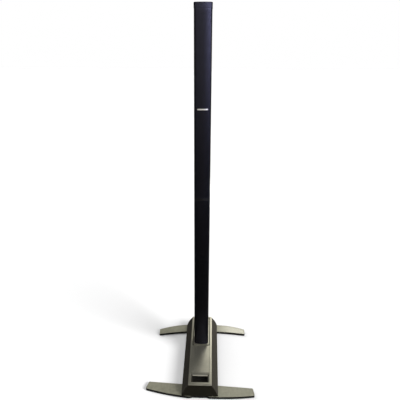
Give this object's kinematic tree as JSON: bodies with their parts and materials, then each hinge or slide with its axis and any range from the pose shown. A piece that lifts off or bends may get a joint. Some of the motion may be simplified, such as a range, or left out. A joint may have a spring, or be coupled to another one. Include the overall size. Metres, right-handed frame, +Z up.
{
  "type": "column pa system",
  "caption": "Slim two-section loudspeaker column plugged into a low power stand with a recessed top, hand grip, rear connector panel and folding legs.",
  "frame": {"origin": "on the floor under the column's axis, at the underside of the stand's centre foot", "axes": "+Z up along the column, front (the grille side and the hand grip's end of the stand) towards -Y, +X to the viewer's right"},
  "size_m": [0.655, 0.6517, 2.16],
  "materials": {
    "charcoal_shell": "fine-grained moulded, satin",
    "taupe_trim": "warm grey metallic paint, satin",
    "leg_paint": "warm grey metallic paint, fine texture",
    "rubber": "matte",
    "steel": "plated",
    "bare_aluminium": "extruded",
    "grille_black": "fine perforated sheet, powder coated",
    "column_black": "satin black anodised",
    "matte_black": "matte moulded",
    "board_green": "lacquered",
    "silver": "brushed",
    "driver_grey": "matte"
  },
  "bodies": {
    "stand": {"base_pan": "matte_black", "base_shell": "charcoal_shell", "top_frame": "taupe_trim", "front_panel": "taupe_trim", "handle_well": "matte_black", "socket_collar": "taupe_trim", "column_socket": "matte_black", "contact_block": "steel", "io_panel": "charcoal_shell", "centre_foot": "rubber", "front_left_pivot_bolt": "steel", "front_right_pivot_bolt": "steel", "rear_left_pivot_bolt": "steel", "rear_right_pivot_bolt": "steel", "channel_1_input": "matte_black", "channel_2_input": "matte_black", "bass_output": "matte_black", "remote_socket": "matte_black", "mains_inlet": "matte_black", "amplifier_board": "board_green", "heat_sink": "bare_aluminium", "toroidal_transformer": "steel"},
    "front_left_leg_arm": {"front_left_leg": "leg_paint", "front_left_leg_pad": "rubber"},
    "front_right_leg_arm": {"front_right_leg": "leg_paint", "front_right_leg_pad": "rubber"},
    "rear_left_leg_arm": {"rear_left_leg": "leg_paint", "rear_left_leg_pad": "rubber"},
    "rear_right_leg_arm": {"rear_right_leg": "leg_paint", "rear_right_leg_pad": "rubber"},
    "channel_1_knob": {"channel_1_trim_knob": "matte_black"},
    "channel_2_knob": {"channel_2_trim_knob": "matte_black"},
    "rocker": {"power_rocker": "matte_black"},
    "lower_column": {"lower_foot_plug": "matte_black", "lower_housing": "column_black", "lower_grille": "grille_black", "joint_socket": "matte_black", "lower_driver_pair_1": "driver_grey", "lower_driver_pair_2": "driver_grey", "lower_driver_pair_3": "driver_grey", "lower_driver_pair_4": "driver_grey", "lower_driver_pair_5": "driver_grey", "lower_driver_pair_6": "driver_grey"},
    "upper_column": {"upper_joint_plug": "column_black", "upper_housing": "column_black", "upper_grille": "grille_black", "top_cap": "column_black", "badge": "silver", "upper_driver_pair_1": "driver_grey", "upper_driver_pair_2": "driver_grey", "upper_driver_pair_3": "driver_grey", "upper_driver_pair_4": "driver_grey", "upper_driver_pair_5": "driver_grey", "upper_driver_pair_6": "driver_grey"}
  },
  "joints": [
    {"name": "front_left_leg_fold", "type": "hinge", "parent": "stand", "child": "front_left_leg_arm", "pos_m": [-0.066, -0.3635, 0.0125], "axis": [0, 0, 1], "range_deg": [-82.2, 7.8]},
    {"name": "front_right_leg_fold", "type": "hinge", "parent": "stand", "child": "front_right_leg_arm", "pos_m": [0.066, -0.3635, 0.0125], "axis": [0, 0, 1], "range_deg": [0, 90]},
    {"name": "rear_left_leg_fold", "type": "hinge", "parent": "stand", "child": "rear_left_leg_arm", "pos_m": [-0.066, 0.208, 0.0125], "axis": [0, 0, 1], "range_deg": [-12, 78]},
    {"name": "rear_right_leg_fold", "type": "hinge", "parent": "stand", "child": "rear_right_leg_arm", "pos_m": [0.066, 0.208, 0.0125], "axis": [0, 0, 1], "range_deg": [-82, 8]},
    {"name": "lower_column_lift", "type": "slide", "parent": "stand", "child": "lower_column", "axis": [0, 0, 1], "range_m": [0, 0.085]},
    {"name": "upper_column_lift", "type": "slide", "parent": "lower_column", "child": "upper_column", "axis": [0, 0, 1], "range_m": [0, 0.06]},
    {"name": "channel_1_trim_turn", "type": "hinge", "parent": "stand", "child": "channel_1_knob", "pos_m": [-0.022, 0.07754, 0.095], "axis": [0, 0, 1], "range_deg": [-140, 140]},
    {"name": "channel_2_trim_turn", "type": "hinge", "parent": "stand", "child": "channel_2_knob", "pos_m": [0.022, 0.07754, 0.095], "axis": [0, 0, 1], "range_deg": [-140, 140]},
    {"name": "power_rocker_tilt", "type": "hinge", "parent": "stand", "child": "rocker", "pos_m": [0.024, 0.19026, 0.091], "axis": [1, 0, 0], "range_deg": [-16, 0]}
  ]
}
